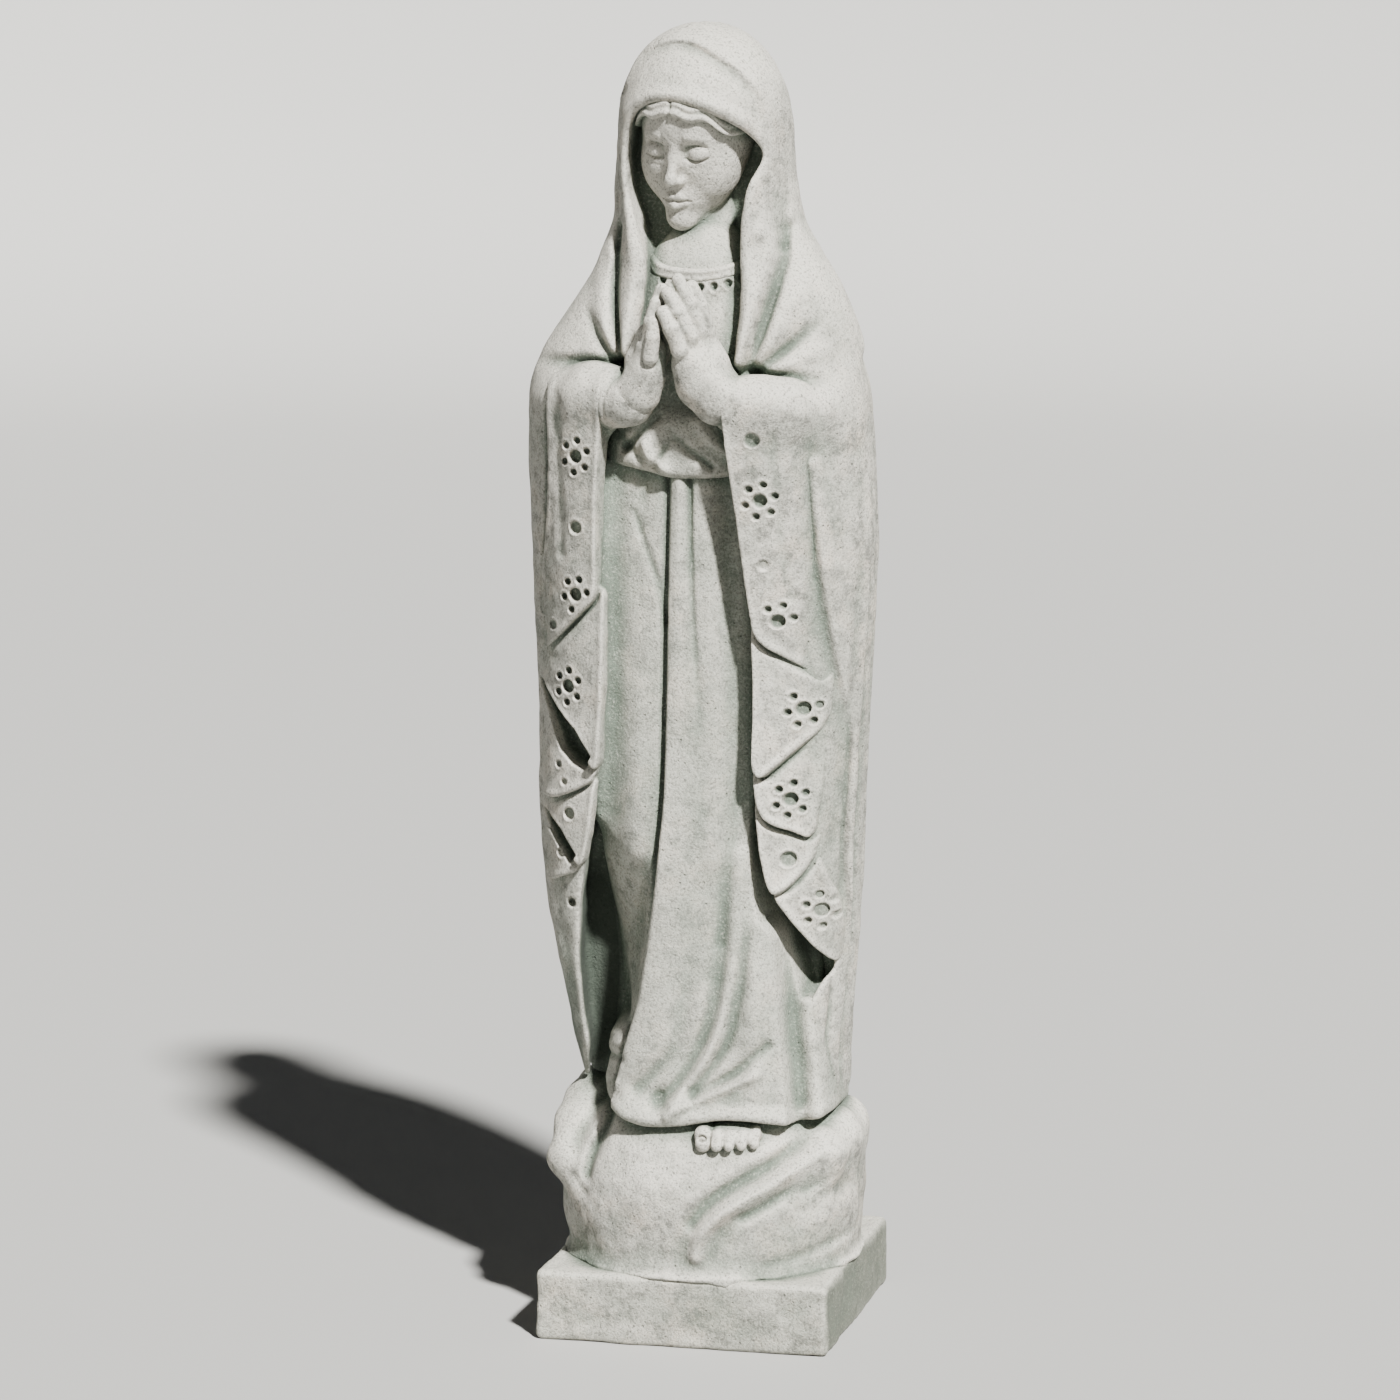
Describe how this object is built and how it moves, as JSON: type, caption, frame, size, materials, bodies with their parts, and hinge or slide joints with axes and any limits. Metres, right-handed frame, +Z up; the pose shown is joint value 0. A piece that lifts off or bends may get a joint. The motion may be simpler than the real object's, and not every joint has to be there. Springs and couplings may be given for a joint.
{
  "type": "madonna statue",
  "caption": "Cast-stone garden statue of a veiled, praying woman in a long gown and open mantle, standing on a cloud-wrapped globe and a square plinth.",
  "frame": {"origin": "middle of the plinth's flat underside, where the statue rests on the ground", "axes": "+Z up along the figure; the figure faces -Y; its own left hand is on the +X side"},
  "size_m": [0.2004, 0.1619, 0.7],
  "materials": {
    "cast_stone": "matte sandy cast stone with a faint grey-green patina in the hollows",
    "plinth_stone": "matte sandy cast stone, a little greener with weathering"
  },
  "bodies": {
    "root": {"plinth": "plinth_stone", "globe": "cast_stone", "cloud_left": "cast_stone", "cloud_right": "cast_stone", "left_foot": "cast_stone", "gown_skirt": "cast_stone", "gown_bodice": "cast_stone", "neckline_trim": "cast_stone", "mantle": "cast_stone", "mantle_edge_left": "cast_stone", "mantle_edge_right": "cast_stone", "sleeve_left": "cast_stone", "sleeve_right": "cast_stone", "cuff_right": "cast_stone", "hand_left": "cast_stone", "hand_right": "cast_stone", "neck": "cast_stone", "head": "cast_stone", "hair": "cast_stone", "veil_hood": "cast_stone", "veil_fall_left": "cast_stone", "veil_fall_right": "cast_stone"}
  },
  "joints": []
}
